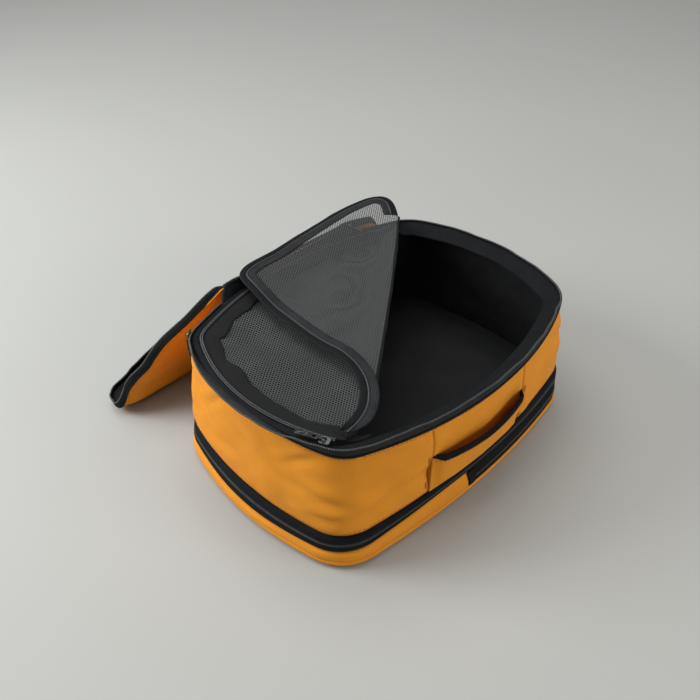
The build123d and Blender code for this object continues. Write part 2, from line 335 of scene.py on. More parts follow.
def tube_grid(path, radius, sides, squash):
    """Points of a tube round a path: rows along it, columns round it."""
    tangent = unit(np.gradient(path, axis=0))
    side = unit(np.cross(tangent, np.broadcast_to(np.array([0.0, 0.0, 1.0]), path.shape)))
    rise = unit(np.cross(side, tangent))
    turn = np.arange(sides) / sides * 2 * math.pi
    r = np.broadcast_to(np.asarray(radius, float), (len(path),))[:, None, None]
    return (path[:, None] + r * (np.cos(turn)[None, :, None] * side[:, None]
                                 + squash * np.sin(turn)[None, :, None] * rise[:, None]))


def tube_piece(name, path, radius, material, sides=8, squash=1.0, closed=False):
    """A closed tube, with a cap at each end unless it joins itself."""
    points = tube_grid(path, radius, sides, squash)
    rows = len(path)
    faces = grid_faces(rows, sides, loop_rows=closed, loop_columns=True)
    if not closed:
        faces.append(tuple(range(sides))[::-1])
        faces.append(tuple((rows - 1) * sides + k for k in range(sides)))
    cloth = cloth_grid(arc_lengths(path)[:, None], np.arange(sides)).reshape(-1, 2)
    return make_mesh(name, points.reshape(-1, 3), faces, material, cloth)


TOOTH = 2.3  # pitch of the zip teeth
RIB = 1.9  # pitch of the webbing's ribs


def coil_piece(name, path, radius, closed=False):
    """A zip coil: a slightly flat, knurled tube with one swelling for each tooth."""
    fine = resampled(path, TOOTH / 5)
    if closed:
        fine = fine[:-1]
    s = np.arange(len(fine)) * TOOTH / 5
    swell = radius * (0.86 + 0.26 * np.cos(2 * math.pi * s / TOOTH))
    return tube_piece(name, fine, swell, COIL, squash=0.85, closed=closed)


def fan_and_rings(rings, count):
    """Faces of a disc: a fan round its middle point, then rings out from it."""
    fan = [(0, 1 + j, 1 + (j + 1) % count) for j in range(count)]
    ring_faces = grid_faces(rings, count, loop_columns=True, flip=True)
    return fan + [tuple(k + 1 for k in face) for face in ring_faces]


def disc_piece(name, border, heights, rings, material, thickness=0.0, toward=0.0):
    """A sheet inside a closed border. heights gives z from an array of points on it and their share of
    the way from the centre to the border."""
    border = border[:, :2]
    shares = np.linspace(0, 1, rings + 1)[1:] ** 0.8
    flat = np.vstack([np.zeros((1, 2)), (border[None] * shares[:, None, None]).reshape(-1, 2)])
    reach = np.concatenate([[0], np.repeat(shares, len(border))])
    points = np.column_stack([flat, heights(flat, reach)])
    return make_mesh(name, points, fan_and_rings(rings, len(border)), material, flat, thickness, toward)


def add_block(points, faces, rings):
    """Adds a closed block to a mesh's points and faces, from cross-sections of four points each."""
    first = len(points)
    for ring in rings:
        points.extend(ring)
    last = len(points) - 4
    for a in range(first, last):
        b = a - 3 if (a - first) % 4 == 3 else a + 1
        faces.append((a, b, b + 4, a + 4))
    faces.append((first + 3, first + 2, first + 1, first))
    faces.append((last, last + 1, last + 2, last + 3))


STITCH_LONG, STITCH_GAP, STITCH_WIDE, STITCH_TALL = 3.0, 1.6, 0.7, 0.35
STITCH_STEP = 0.5  # spacing of the points that a stitch is laid on


def stitch_piece(name, path, up):
    """A row of raised stitches along a path, lying on a surface that faces up."""
    fine = resampled(np.column_stack([path, np.broadcast_to(up, path.shape)]), STITCH_STEP)
    path, up = fine[:, :3], unit(fine[:, 3:])
    side = unit(np.cross(unit(np.gradient(path, axis=0)), up))
    points, faces = [], []
    step = int((STITCH_LONG + STITCH_GAP) / STITCH_STEP)
    for i in range(2, len(path) - step, step):
        rings = []
        for share, size in ((0, 0.5), (0.2, 1), (0.8, 1), (1, 0.5)):
            k = i + int(round(share * STITCH_LONG / STITCH_STEP))
            rings.append([path[k] + side[k] * a * STITCH_WIDE / 2 * size
                          + up[k] * (b * STITCH_TALL * size - 0.1)
                          for a, b in ((-1, 0), (-0.6, 1), (0.6, 1), (1, 0))])
        add_block(points, faces, rings)
    return make_mesh(name, np.array(points), faces, THREAD)


def attach(piece, body, slot, *nodes):
    """Hangs a finished piece on its body and hides the CAD nodes it stands for; its material slot is not
    used.
    """
    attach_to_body(piece, body)
    if nodes:
        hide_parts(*nodes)
    return piece


# ---- materials -----------------------------------------------------------------------------------------
class Shader:
    """Builds a Principled material's nodes."""

    def __init__(self, name, roughness, sheen=0.0, specular=0.4):
        self.material = bpy.data.materials.new(name)
        self.material.use_nodes = True
        self.tree = self.material.node_tree
        self.shader = self.tree.nodes["Principled BSDF"]
        self.set("Roughness", roughness)
        self.set("Sheen Weight", sheen)
        self.set("Sheen Roughness", 0.45)
        self.set("Specular IOR Level", specular)

    def set(self, name, value):
        self.join(value, self.shader.inputs[name])

    def join(self, value, socket):
        if isinstance(value, bpy.types.NodeSocket):
            self.tree.links.new(value, socket)
        else:
            socket.default_value = value

    def add(self, kind, *values, **settings):
        node = self.tree.nodes.new("ShaderNode" + kind)
        for key, value in settings.items():
            setattr(node, key, value)
        for index, value in enumerate(values):
            self.join(value, node.inputs[index])
        return node

    def maths(self, operation, a, b=0.0):
        return self.add("Math", a, b, operation=operation).outputs[0]

    def plus(self, a, b):
        return self.maths("ADD", a, b)

    def times(self, a, b):
        return self.maths("MULTIPLY", a, b)

    def cloth(self):
        """The two flat cloth coordinates, in millimetres."""
        split = self.add("SeparateXYZ", self.add("UVMap", uv_map="cloth").outputs[0])
        return split.outputs[0], split.outputs[1]

    def noise(self, scale, detail=3.0, roughness=0.55):
        """Noise with features about 1000 / scale millimetres across."""
        node = self.add("TexNoise")
        self.join(self.add("TexCoord").outputs["Object"], node.inputs["Vector"])
        node.inputs["Scale"].default_value = scale
        node.inputs["Detail"].default_value = detail
        node.inputs["Roughness"].default_value = roughness
        return node.outputs["Fac"]

    def span(self, value, low, high, to_low=0.0, to_high=1.0):
        return self.add("MapRange", value, low, high, to_low, to_high).outputs[0]

    def blend_colour(self, share, a, b):
        node = self.add("Mix", data_type="RGBA")
        self.join(share, node.inputs[0])
        self.join(a, node.inputs[6])
        self.join(b, node.inputs[7])
        return node.outputs[2]

    def bump(self, height, distance):
        """Relief as deep as distance, in millimetres."""
        node = self.add("Bump")
        node.inputs["Strength"].default_value = 1.0
        node.inputs["Distance"].default_value = distance * MM
        self.join(height, node.inputs["Height"])
        self.join(node.outputs[0], self.shader.inputs["Normal"])

    def wave(self, value, pitch):
        """A cosine along a cloth coordinate."""
        return self.maths("COSINE", self.times(value, 2 * math.pi / pitch))

    def threads(self, u, v, pitch):
        """Height of a plain weave: warp on top in every other square, weft in the rest."""
        half = math.pi / pitch
        su = self.maths("SINE", self.times(u, half))
        sv = self.maths("SINE", self.times(v, half))
        cu = self.maths("ABSOLUTE", self.maths("COSINE", self.times(u, half)))
        cv = self.maths("ABSOLUTE", self.maths("COSINE", self.times(v, half)))
        top = self.maths("GREATER_THAN", self.times(su, sv), 0.0)
        return self.plus(self.times(cu, top), self.times(cv, self.maths("SUBTRACT", 1.0, top)))


def colour(red, green, blue):
    """A colour given as it looks on a screen, turned to the values that light works with."""
    def linear(c):
        c = c / 255
        return c / 12.92 if c <= 0.04045 else ((c + 0.055) / 1.055) ** 2.4
    return (linear(red), linear(green), linear(blue), 1.0)


def shaded(tint, factor):
    """A colour made darker or lighter."""
    return tuple(c * factor for c in tint[:3]) + (1.0,)


def woven(name, base, dark, pitch, roughness, sheen, depth):
    """A plain woven cloth: threads, uneven yarn, faint soiling and wear."""
    s = Shader(name, roughness, sheen, 0.18)
    u, v = s.cloth()
    weave = s.threads(u, v, pitch)
    slubs = s.add("TexNoise", noise_dimensions="2D")
    stretch = s.add("CombineXYZ", s.times(u, 0.06), s.times(v, 1.4))
    s.join(stretch.outputs[0], slubs.inputs["Vector"])
    slubs.inputs["Scale"].default_value = 1.0
    patches = s.noise(24, 4)
    fine = s.noise(420, 2)
    shade = s.plus(s.times(slubs.outputs["Fac"], 0.35), s.times(patches, 0.5))
    shade = s.plus(shade, s.times(fine, 0.25))
    yarn = s.blend_colour(s.span(shade, 0.3, 0.85), dark, base)
    # the hollows between the threads take the dark colour darkened further: painted shade in the weave
    s.set("Base Color", s.blend_colour(s.span(weave, 0.15, 0.7), shaded(dark, 0.62), yarn))
    s.set("Roughness", s.span(patches, 0.3, 0.7, roughness - 0.07, roughness + 0.08))
    s.bump(s.plus(s.times(weave, 0.35), s.times(fine, 0.6)), depth)
    return s


def make_orange():
    s = woven("orange_weave", colour(240, 160, 50), colour(228, 143, 34), 0.9, 0.7, 0.03, 0.2)
    s.set("Sheen Tint", colour(255, 214, 150))
    return s.material


def make_tape(name, base, dark, rib):
    """Woven zip tape: fine ribs along its length and a twill across them."""
    s = Shader(name, 0.72, 0.02, 0.1)
    u, v = s.cloth()
    slant = s.wave(s.plus(u, s.times(v, 0.6)), 1.3)
    ribs = s.wave(v, rib)
    fine = s.noise(500, 2)
    lint = s.noise(60, 5, 0.7)
    height = s.plus(s.times(ribs, 0.5), s.times(slant, 0.3))
    # colour follows the ribs' height: painted shade in the grooves and lighter ribs, with lint adding
    # random tone
    shade = s.plus(s.times(height, 0.35), lint)
    s.set("Base Color", s.blend_colour(s.span(shade, 0.1, 0.9), dark, base))
    s.set("Sheen Tint", colour(150, 156, 160))
    s.bump(s.plus(height, fine), 0.14)
    return s.material


def make_net(name, yarn, pitch, cover):
    """Knitted mesh: a lattice of round holes, with yarn left between them."""
    s = Shader(name, 0.65, 0.04, 0.2)
    u, v = s.cloth()
    waves = []
    for turn in (0, 60, 120):
        a = math.radians(turn + 8)
        line = s.plus(s.times(u, math.cos(a)), s.times(v, math.sin(a)))
        waves.append(s.wave(line, pitch))
    total = s.plus(s.plus(waves[0], waves[1]), waves[2])
    hole = s.span(total, cover, cover + 0.5)
    s.set("Base Color", s.blend_colour(s.noise(40, 3), yarn, shaded(yarn, 1.35)))
    s.bump(s.times(total, -0.3), 0.2)
    clear = s.add("BsdfTransparent")
    mixed = s.add("MixShader", hole, s.shader.outputs[0], clear.outputs[0])
    output = s.tree.nodes["Material Output"]
    s.tree.links.new(mixed.outputs[0], output.inputs["Surface"])
    return s.material


def make_coil():
    """Satin nylon of the zip teeth."""
    s = Shader("nylon_coil", 0.34, 0.0, 0.55)
    dust = s.noise(160, 4, 0.7)
    s.set("Base Color", s.blend_colour(dust, colour(20, 22, 24), colour(42, 45, 48)))
    s.set("Roughness", s.span(dust, 0.3, 0.7, 0.26, 0.5))
    s.bump(s.noise(900, 2), 0.05)
    return s.material


def make_webbing():
    """Ribbed webbing: cords across it with a twist of yarn in each."""
    s = Shader("ribbed_webbing", 0.78, 0.02, 0.12)
    u, v = s.cloth()
    ribs = s.wave(u, RIB)
    twist = s.wave(s.plus(v, s.times(u, 0.5)), 1.1)
    height = s.plus(s.times(ribs, 0.7), s.times(twist, 0.3))
    # colour follows the cords' height: painted shade in the grooves between them, lighter on their crowns
    s.set("Base Color", s.blend_colour(s.span(height, -1, 1), colour(8, 9, 11), colour(32, 35, 40)))
    s.set("Sheen Tint", colour(150, 160, 175))
    s.bump(height, 0.3)
    return s.material


def make_metal(name, base, edge, roughness):
    """Enamelled metal, rubbed brighter where it is raised."""
    s = Shader(name, roughness, 0.0, 0.6)
    rubbed = s.span(s.noise(320, 5, 0.75), 0.52, 0.68)
    raised_edge = s.add("NewGeometry").outputs["Pointiness"]
    wear = s.times(rubbed, s.span(raised_edge, 0.5, 0.58))
    s.set("Metallic", s.plus(0.75, s.times(wear, 0.25)))
    s.set("Base Color", s.blend_colour(wear, base, edge))
    s.set("Roughness", s.span(s.noise(90, 3), 0.3, 0.7, roughness - 0.08, roughness + 0.1))
    s.bump(s.noise(700, 3), 0.03)
    return s.material


def make_thread():
    s = Shader("orange_thread", 0.7, 0.2)
    base = colour(196, 118, 34)
    fine = s.noise(1500, 2)
    s.set("Base Color", s.blend_colour(fine, shaded(base, 0.7), base))
    s.bump(fine, 0.08)
    return s.material


ORANGE = make_orange()
LINING = woven("black_lining", colour(29, 30, 32), colour(18, 19, 21), 0.6, 0.65, 0.04, 0.12).material
TAPE = make_tape("black_tape", colour(23, 26, 29), colour(10, 11, 13), 1.5)
# black zip tape painted mid grey: a painted highlight for the light its upturned face catches
LIT_GREY_TAPE = make_tape("lit_grey_tape", colour(50, 52, 54), colour(22, 24, 26), 1.7)
NET = make_net("knitted_mesh", colour(62, 64, 65), 2.6, -0.05)
BORDER = woven("mesh_border_cloth", colour(27, 28, 29), colour(14, 15, 16), 0.8, 0.75, 0.03, 0.16).material
COIL = make_coil()
WEBBING = make_webbing()
METAL = make_metal("gunmetal", colour(96, 98, 100), colour(150, 150, 150), 0.32)
BRASS = make_metal("worn_brass", colour(120, 92, 48), colour(205, 170, 96), 0.3)
PULL = make_metal("pull_enamel", colour(34, 36, 38), colour(120, 120, 120), 0.4)
THREAD = make_thread()


# ---- where bands and seams run -------------------------------------------------------------------------
LEFT_END = 6.5  # place in the middle of the left end, where the body has settled
SETTLES, SPREADS = 8.5, 6.5  # how far the zip sinks there and the base is pressed outward
BASE_RISES_AT = front_place(-42)
SEAM_INSET, FLOP_INSET = 0.5, 5.0  # how far in the rim's seam lies, and how much more under the fallen tape


def narrowing(place):
    """How far the base rises over the expansion zip near the middle of the front, 0 to 1."""
    return nearness(place, BASE_RISES_AT, 84)


def settling(place):
    """How far the body's weight has let the expansion zip sink at the left end, in millimetres."""
    return SETTLES * nearness(place, LEFT_END, 190)


def zip_low(place):
    return BASE_TOP + 7.5 * narrowing(place) - settling(place)


def zip_high(place):
    return WALL_BOTTOM - narrowing(place) - 1.3 * settling(place)


def base_spread(place, z):
    """How far the base is pressed outward at the left end: fully up to the zip, and not at all above it."""
    return SPREADS * nearness(place, LEFT_END, 105) * (1 - ease((z - zip_low(place)) / 20, 0, 1))


def zip_middle(place):
    return SPLIT + (zip_low(place) + zip_high(place) - BASE_TOP - WALL_BOTTOM) / 2


def flop(place):
    """0 where the lid zip's tape stands up, 1 where it has fallen outward at the left end."""
    s = around(np.asarray(place, float) % 8)
    s = np.where(s < PERIMETER / 4, s + PERIMETER, s)
    back_corner, front_corner = around(5.5), around(7.5)
    return (ease(s, back_corner - 20, back_corner + 95)
            * (1 - ease(s, front_corner - 115, front_corner + 10)))


def seam_z(place):
    """Height of the seam between the wall and the lid zip's tape."""
    return RIM_TOP - 6.5 + 6.0 * flop(place)


def seam_out(place):
    return -SEAM_INSET - FLOP_INSET * flop(place)


# ---- walls ---------------------------------------------------------------------------------------------
CREASE_STRENGTH = 1.4
SEAM_WIDE, SEAM_DEEP = 2.6, 1.1  # groove along the upright seams
HOLLOW, BEHIND_HANDLE = 4.4, 3.0  # depth of the dents at the handle's left end and behind the handle
# creases: x and y near them, height, half length, half width, depth, rise per mm along the wall
CREASES = (
    (-112, -140, 137, 30, 3.2, -1.6, 0.10),
    (-128, -128, 128, 22, 3.5, -1.3, -0.06),
    (-150, -112, 66, 26, 6.0, -2.2, 0.22),
    (-160, -98, 84, 22, 5.5, -1.6, -0.30),
    (-176, -70, 118, 18, 5.0, -1.3, 0.55),
    (-186, -20, 100, 26, 7.0, -1.1, -0.45),
    (-184, 40, 122, 20, 5.0, -1.4, 0.80),
    (-178, 80, 96, 24, 6.0, -1.6, -0.60),
    (-100, -140, 78, 20, 6.0, -1.5, 0.35),
    (96, -136, 88, 24, 5.0, -1.2, 0.50),
    (140, -118, 110, 20, 5.0, -1.5, -0.40),
    (186, -30, 92, 22, 6.0, -1.6, 0.55),
    (180, 60, 118, 26, 6.0, -1.6, -0.50),
    (60, 142, 100, 30, 7.0, -1.4, 0.35),
    (-40, 146, 86, 34, 7.0, -1.4, -0.30),
)


def crease_depth(place, z):
    """Sum of the soft folds in the walls, each with a swell above it."""
    s = around(place)
    total = np.zeros(np.broadcast(s, z).shape)
    for x, y, height, long, wide, depth, rise in CREASES:
        d = shortest(s - around(nearest_place(x, y)))
        across = (z - height - rise * d) / math.hypot(1, rise)
        fold = bell(d, 0, long) * (bell(across, 0, wide) - 0.7 * bell(across, 2 * wide, 1.3 * wide))
        total = total + CREASE_STRENGTH * depth * fold
    return total


def wall_out(place, z):
    """How far the wall stands out from the plain outline: full in the middle, drawn in at its seams."""
    low, high = zip_high(place), seam_z(place)
    f = (z - low) / (high - low)
    body = profile(f, (0, -1.6), (0.05, 0.2), (0.13, 1.8), (0.35, 3.2), (0.6, 3.0), (0.85, 1.4), (1, 0))
    rough = ease(f, 0, 0.12) * (1 - ease(f, 0.9, 1))
    points = skin(place, z)[0]
    wrinkle = 2.1 * swells(points, 58, 3) + 0.8 * swells(points * np.array([1, 1, 1.6]), 24, 5)
    seams = sum(nearness(place, front_place(x), SEAM_WIDE) for x in (HANDLE_LEFT, HANDLE_RIGHT))
    hinge_ends = sum(nearness(place, back_place(x), SEAM_WIDE) for x in (-HINGE_HALF, HINGE_HALF))
    hollow = nearness(place, front_place(HANDLE_LEFT - 3), 15) * bell(z, 76, 20)
    behind = (ease(place, front_place(HANDLE_LEFT), front_place(HANDLE_LEFT + 16))
              * (1 - ease(place, front_place(HANDLE_RIGHT - 16), front_place(HANDLE_RIGHT)))
              * bell(z, 84, 22))
    overhang = 0.4 * narrowing(place) * bell(f, 0.08, 0.12)
    return (body + rough * (wrinkle + crease_depth(place, z)) - SEAM_DEEP * (seams + hinge_ends) * rough
            + seam_out(place) * f - HOLLOW * hollow - BEHIND_HANDLE * behind + overhang)


def make_walls():
    left, right = front_place(HANDLE_LEFT), front_place(HANDLE_RIGHT)
    hinge_right, hinge_left = back_place(HINGE_HALF), back_place(-HINGE_HALF)
    panels = (("side_wall_left", hinge_left, left + 8), ("front_panel", left, right),
              ("side_wall_right", right, hinge_right), ("back_panel", hinge_right, hinge_left))
    for node, start, end in panels:
        places = stations(start, end, 3)
        low, high = zip_high(places), seam_z(places)
        z = low + (high - low) * np.linspace(0, 1, 34)[:, None] ** 0.9
        place = np.broadcast_to(places, z.shape)
        points = skin(place, z, wall_out(place, z))[0]
        piece = grid_piece(node + "_cloth", points, cloth_grid(around(places), z), ORANGE, SHELL_THICK, -1)
        attach(piece, "upper", "orange_fabric", node)


def make_inside():
    """Black lining of the walls."""
    places = stations(0, 8, 5)[:-1]
    z = np.linspace(FLOOR_TOP - 0.5, RIM_TOP - 3, 34)[:, None]
    place, z = np.broadcast_arrays(places, z)
    rough = skin(place, z)[0]
    slack = 1.4 * swells(rough, 46, 11) + 0.6 * swells(rough, 17, 12)
    cover = ease(z, RIM_TOP - 14, RIM_TOP - 3)
    foot = ease(z, WALL_BOTTOM + 12, WALL_BOTTOM - 4)
    points = skin(place, z, -4.6 - 1.6 * foot + slack * (1 - cover) - 1.5 * cover)[0]
    piece = grid_piece("wall_lining_cloth", points, cloth_grid(around(place), z), LINING, 0.6, -1,
                       loop_columns=True)
    attach(piece, "upper", "lining", "wall_lining")


def body_border(inset, z):
    """The body's outline as one closed line, for floors."""
    places = stations(0, 8, 6)[:-1]
    return skin(places, z, base_spread(places, z) - inset)[0]


def make_floors():
    """Bottom panel on the ground and the divider between the two compartments."""
    edge = body_border(4.0, 0)

    def under(flat, reach):
        return 0.9 + 0.4 * swells(with_height(flat), 60, 21) * (1 - ease(reach, 0.9, 1))

    bottom = disc_piece("bottom_panel_cloth", edge, under, 16, ORANGE, 0.8, 1)
    attach(bottom, "base", "orange_fabric", "bottom_panel")
    edge = body_border(2.0, BASE_TOP)

    def over(flat, reach):
        at = with_height(flat)
        slack = 1.6 + 2.2 * swells(at, 70, 23) + 0.8 * swells(at, 24, 24)
        return FLOOR_TOP + slack * (1 - ease(reach, 0.86, 1))

    divider = disc_piece("divider_cloth", edge, over, 34, LINING, 0.8, 0)
    attach(divider, "base", "lining", "divider_panel")


# ---- base strip, expansion zip and lower zip ------------------------------------------------------------
CLOTH_BAND = (ORANGE, "orange_fabric", SHELL_THICK)
TAPE_BAND = (TAPE, "black_tape", TAPE_THICK)


def band_piece(name, node, body, kind, places, low, high, outs, rows, slack=0.0, loop=False):
    """A band round the body from height low to high. outs gives its outward shape across."""
    material, slot, thickness = kind
    f = np.linspace(0, 1, rows)[:, None]
    place, z = np.broadcast_arrays(places, low + (high - low) * f)
    out = profile(f, *outs)
    if slack:
        points = skin(place, z)[0]
        uneven = swells(points, 44, 31) + 0.5 * swells(points, 16, 32)
        out = out + slack * np.sin(math.pi * f) ** 0.7 * uneven
    points = skin(place, z, out + base_spread(place, z))[0]
    cloth = cloth_grid(around(place), z)
    piece = grid_piece(name, points, cloth, material, thickness, -1, loop_columns=loop)
    return attach(piece, body, slot, node)


def make_base():
    ring = stations(0, 8, 3)[:-1]
    low, middle, high = zip_low(ring), zip_middle(ring), zip_high(ring)
    start, end = front_place(ZIP_START), back_place(ZIP_END)
    plain = stations(end, start + 8, 3)
    zipped = stations(start, end, 3)

    lip = band_piece("bottom_lip_cloth", "bottom_lip", "base", CLOTH_BAND, ring, 0.6, LIP_SEAM,
                     ((0, -4.5), (0.12, -1.0), (0.35, 1.8), (0.7, 3.4), (1, 2.6)), 9, loop=True)
    wall = band_piece("base_wall_cloth", "base_wall", "base", CLOTH_BAND, plain, LIP_SEAM - 0.3,
                      zip_low(plain), ((0, 2.6), (0.2, 3.2), (0.5, 2.9), (0.85, 1.0), (1, -1.0)), 14,
                      slack=1.0)

    band_piece("lower_tape_low", "lower_zip_tape_bottom", "base", TAPE_BAND, zipped, LIP_SEAM - 0.4,
               LOWER_COIL - 0.6, ((0, 1.6), (0.3, 1.9), (0.7, 1.6), (1, 0.4)), 7)
    band_piece("lower_tape_high", "lower_zip_tape_top", "base", TAPE_BAND, zipped, LOWER_COIL + 0.6,
               zip_low(zipped), ((0, 0.4), (0.3, 1.8), (0.75, 1.2), (1, -1.0)), 7)
    path = skin(zipped, LOWER_COIL, 0.9)[0]
    attach(coil_piece("lower_coil", path, BASE_COIL), "base", "zip_coil", "lower_zip_coil")
    make_end_tab(start)

    tape_low = band_piece("expansion_tape_low", "expansion_tape_lower", "base", TAPE_BAND, ring, low,
                          middle - 0.5, ((0, -1.2), (0.25, 0.8), (0.7, 1.5), (0.92, 1.0), (1, -0.4)), 9,
                          loop=True)
    tape_high = band_piece("expansion_tape_high", "expansion_tape_upper", "upper", TAPE_BAND, ring,
                           middle + 0.5, high, ((0, -0.4), (0.08, 1.0), (0.3, 1.6), (0.75, 1.0), (1, -1.2)),
                           9, loop=True)
    closed = np.append(ring, 8.0)
    for name, shift, body, node in (("expansion_coil_low", -0.9, "base", "expansion_coil_lower"),
                                    ("expansion_coil_high", 0.9, "upper", "expansion_coil_upper")):
        z = zip_middle(closed) + shift
        path = skin(closed, z, 0.5 + base_spread(closed, z))[0]
        attach(coil_piece(name, path, EXPANSION_COIL, closed=True), body, "zip_coil", node)


def make_end_tab(start):
    """Fabric tab, cut at a slant, over the beginning of the lower zip."""
    f, along = np.meshgrid(np.linspace(0, 1, 11), np.linspace(0, 1, 8), indexing="ij")
    slant = 6.0 * (1 - f)
    place = place_at(around(start) - 2.0 + slant + (13.0 - slant) * along)
    z = LIP_SEAM + 0.5 + (BASE_TOP + 4.0 - LIP_SEAM) * f
    points = skin(place, z, profile(f, (0, 2.3), (0.3, 2.9), (0.7, 2.4), (1, 0.6)))[0]
    piece = grid_piece("lower_zip_end_patch", points, cloth_grid(around(place), z), TAPE, 0.8, 1)
    attach(piece, "base", "black_tape", "lower_zip_end_tab")


def make_gusset():
    """Hidden cloth that on the real bag unfolds when the expansion zip is opened; here it is made folded
    and hung on no body.
    """
    ring = stations(0, 8, 4)[:-1]
    z = np.linspace(BASE_TOP + 1.5, WALL_BOTTOM - 0.8, 40)[:, None]
    place, z = np.broadcast_arrays(ring, z)
    f = (z - z.min()) / (z.max() - z.min())
    out = -3.4 + 0.5 * np.sin(f * 5 * math.pi) + 0.4 * swells(skin(place, z)[0], 30, 41)
    points = skin(place, z, out)[0]
    cloth = cloth_grid(around(place), z * 2.6)
    piece = grid_piece("expansion_gusset_cloth", points, cloth, ORANGE, 0.8, -1, loop_columns=True)
    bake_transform(piece)
    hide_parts("expansion_gusset")


# ---- rim -----------------------------------------------------------------------------------------------
def rim_strip(name, places, reach, nodes, material, thickness, **settings):
    """A strip across the rim. reach is a list of (out, z) pairs of arrays, from one edge to the other."""
    outs, heights = np.stack([np.broadcast_arrays(out, z) for out, z in reach], axis=1)
    place = np.broadcast_to(places, outs.shape)
    steps = np.hypot(np.diff(outs, axis=0), np.diff(heights, axis=0))
    across = np.concatenate([np.zeros((1, len(places))), np.cumsum(steps, axis=0)])
    piece = grid_piece(name, rim_line(place, outs, heights), cloth_grid(around(place), across), material,
                       thickness, 0, **settings)
    return attach(piece, "upper", "black_tape", *nodes)


def flutter(places, scale, seed):
    """Slow unevenness along the rim."""
    return swells(skin(places, RIM_TOP)[0], scale, seed)


STANDING_TAPE, FALLEN_TAPE = 7.6, 8.0  # width of the lid zip's tape where it stands and where it has fallen


def standing_tape(places, f):
    """Out and z across the lid zip's body tape, f from its seam to its free edge."""
    fallen = flop(places)
    lean = np.radians(86 - 74 * fallen + 6 * flutter(places, 30, 51))
    long = STANDING_TAPE + (FALLEN_TAPE - STANDING_TAPE) * fallen
    curl = 0.9 * np.sin(math.pi * f) * (1 + 0.8 * fallen) + 0.5 * f * flutter(places, 16, 52)
    out = seam_out(places) + 0.6 + np.cos(lean) * long * f + np.sin(lean) * curl
    z = seam_z(places) + np.sin(lean) * long * f + np.cos(lean) * np.abs(curl)
    return out, z


def make_rim():
    places = stations(back_place(-HINGE_HALF - 1), back_place(HINGE_HALF + 1) + 8, 2.5)
    across = [standing_tape(places, f) for f in np.linspace(0, 1, 8)]
    # the lid zip's tape on the body takes the grey tape with its painted highlight
    rim_strip("lid_tape_on_body", places, across, ["lid_zip_tape_body"], LIT_GREY_TAPE, 0.9)
    path = rim_line(places, *standing_tape(places, 1.04))
    attach(coil_piece("lid_coil_on_body", path, LID_COIL), "upper", "zip_coil", "lid_zip_coil_body")
    ring = stations(0, 8, 2.5)
    cord = rim_line(ring, seam_out(ring) + 0.9, seam_z(ring) - 0.3)
    attach(tube_piece("rim_piping", cord[:-1], 1.25, TAPE, closed=True), "upper", "black_tape")


# x on the front and on the back where the mesh cover's unzipped part begins, and where its zipped part ends
OPEN_FRONT, OPEN_BACK = -122, 134
ZIPPED_FRONT, ZIPPED_BACK = -134, 136


def open_share(places):
    """1 where the mesh cover is unzipped from the rim, along the front and the right end."""
    s = around(np.asarray(places, float) % 8)
    s = np.where(s > around(7.0), s - PERIMETER, s)
    return between(s, around(front_place(OPEN_FRONT)), around(back_place(OPEN_BACK)), 22)


def make_rim_ring():
    """The flat black tape round the opening: level where the mesh is zipped to it, sloping in where not."""
    ring = stations(0, 8, 3)[:-1]
    cap = [(seam_out(ring) + out, seam_z(ring) + z)
           for out, z in ((1.7, -2.2), (1.5, 0.4), (0.2, 1.4), (-3.5, 1.0))]
    rim_strip("rim_edge_cover", ring, cap, [], TAPE, 0.6, loop_columns=True, flip=True)
    wide = 9.5 + 8.0 * open_share(ring)
    drop = 0.6 + 8.5 * open_share(ring) + 1.2 * flutter(ring, 40, 61)
    drop = drop + 5.0 * nearness(ring, MESH_SLIDER_AT, 20)
    start_out, start_z = seam_out(ring) + 0.9, seam_z(ring) + 5.2 * (1 - flop(ring)) + 0.4
    reach = [(start_out - wide * f, start_z - drop * f + 1.3 * math.sin(math.pi * f))
             for f in np.linspace(0, 1, 11)]
    rim_strip("rim_binding_cloth", ring, reach, ["rim_binding"], TAPE, TAPE_THICK, loop_columns=True,
              flip=True)


# ---- hinge strip and lid -------------------------------------------------------------------------------
def make_hinge():
    """Cloth that stands on the back rim and carries the lid, with a bound edge along the pivot."""
    places = stations(back_place(HINGE_HALF), back_place(-HINGE_HALF), 3)
    foot = rim_line(places, -2.0, RIM_TOP - 5)
    head = foot.copy()
    head[:, 1:] = PIVOT[1:] - 0.6
    reach = arc_lengths(foot)
    head = foot + (head - foot) * between(reach, 0, reach[-1], 20, 4)[:, None]
    f = np.linspace(0, 1, 12)[:, None]
    points = foot * (1 - f[..., None]) + head * f[..., None]
    points[:, :, 2] += np.sin(math.pi * f) * 1.6
    strip = grid_piece("lid_hinge_cloth", points, cloth_grid(around(places), f * 16), TAPE, 1.2, 0)
    attach(strip, "upper", "orange_fabric", "lid_hinge_strip")
    bound = head + np.array([0, 0.6, 0.6])
    attach(tube_piece("lid_hinge_binding", bound, HINGE_PIPING, TAPE, sides=10), "upper", "black_tape")


BEND_REACH = 34.0  # how far the lid's bend spreads on each side of the fold
FOLD_RUN = math.hypot(FOLD[1] - PIVOT[1], FOLD[2] - PIVOT[2])  # cloth from the pivot to the fold
HANG = math.radians(LID_OPEN - 180)
BEND_START = FOLD + BEND_REACH * np.array([0, -math.cos(HANG), math.sin(HANG)])
BEND_END = FOLD + BEND_REACH * np.array([0, 1.0, 0])


def turned(points, y, z, degrees):
    """Points turned about an axis along X through (y, z)."""
    a = np.radians(degrees)
    dy, dz = points[..., 1] - y, points[..., 2] - z
    moved = points.copy()
    moved[..., 1] = y + dy * np.cos(a) - dz * np.sin(a)
    moved[..., 2] = z + dy * np.sin(a) + dz * np.cos(a)
    return moved


